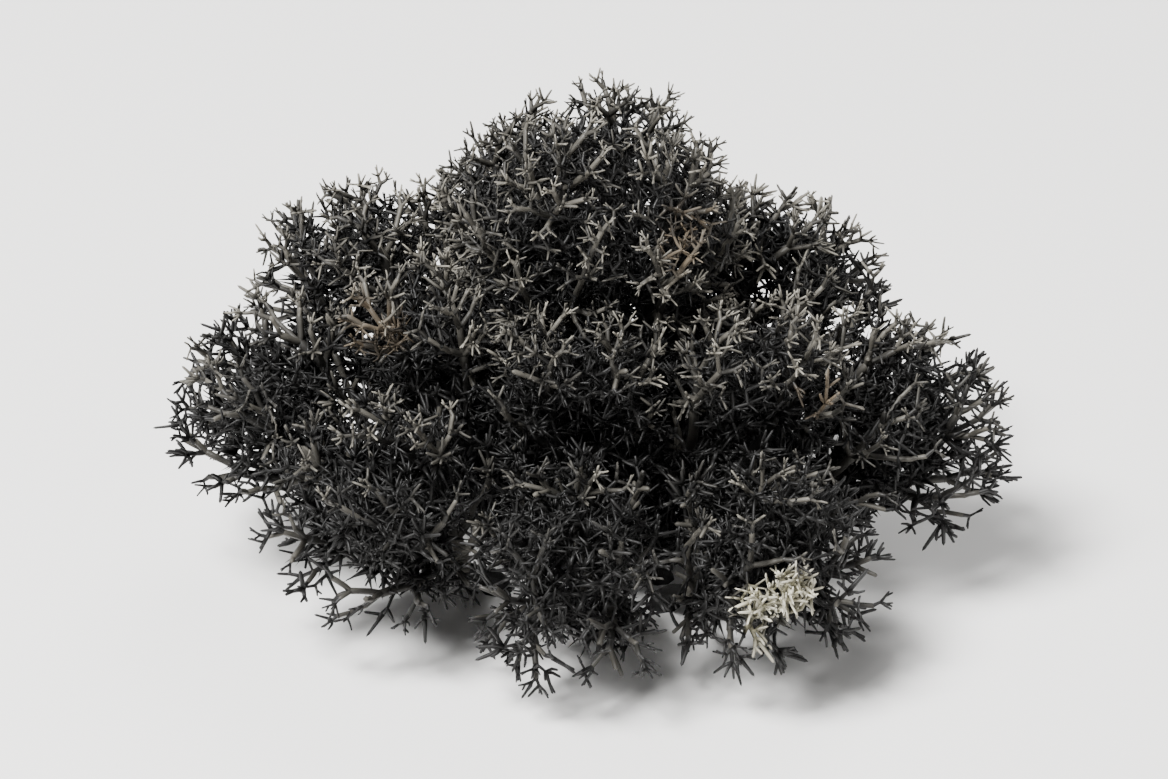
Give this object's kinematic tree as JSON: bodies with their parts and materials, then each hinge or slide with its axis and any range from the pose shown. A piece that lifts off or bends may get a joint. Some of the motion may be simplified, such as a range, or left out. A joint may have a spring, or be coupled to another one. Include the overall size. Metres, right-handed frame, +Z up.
{
  "type": "reindeer moss clump",
  "caption": "Picked clump of black-dyed reindeer moss: bushy lichen heads on forked stalks, standing together on their cut feet.",
  "frame": {"origin": "middle of the crown podetium's cut foot, on the plane that the clump rests on", "axes": "+Z up, +X along the clump's longest side, -Y towards its low front heads"},
  "size_m": [0.0548, 0.0454, 0.0331],
  "materials": {
    "dyed_lichen": "matt, dyed black, softened with glycerine"
  },
  "bodies": {
    "root": {"podetium_crown": "dyed_lichen", "podetium_right_shoulder": "dyed_lichen", "podetium_left_shoulder": "dyed_lichen", "podetium_left_middle": "dyed_lichen", "podetium_front_middle": "dyed_lichen", "podetium_far_left": "dyed_lichen", "podetium_front_left": "dyed_lichen", "podetium_front_right": "dyed_lichen", "podetium_right_low": "dyed_lichen", "podetium_far_right": "dyed_lichen", "podetium_back_right": "dyed_lichen", "podetium_back_left": "dyed_lichen"}
  },
  "joints": []
}
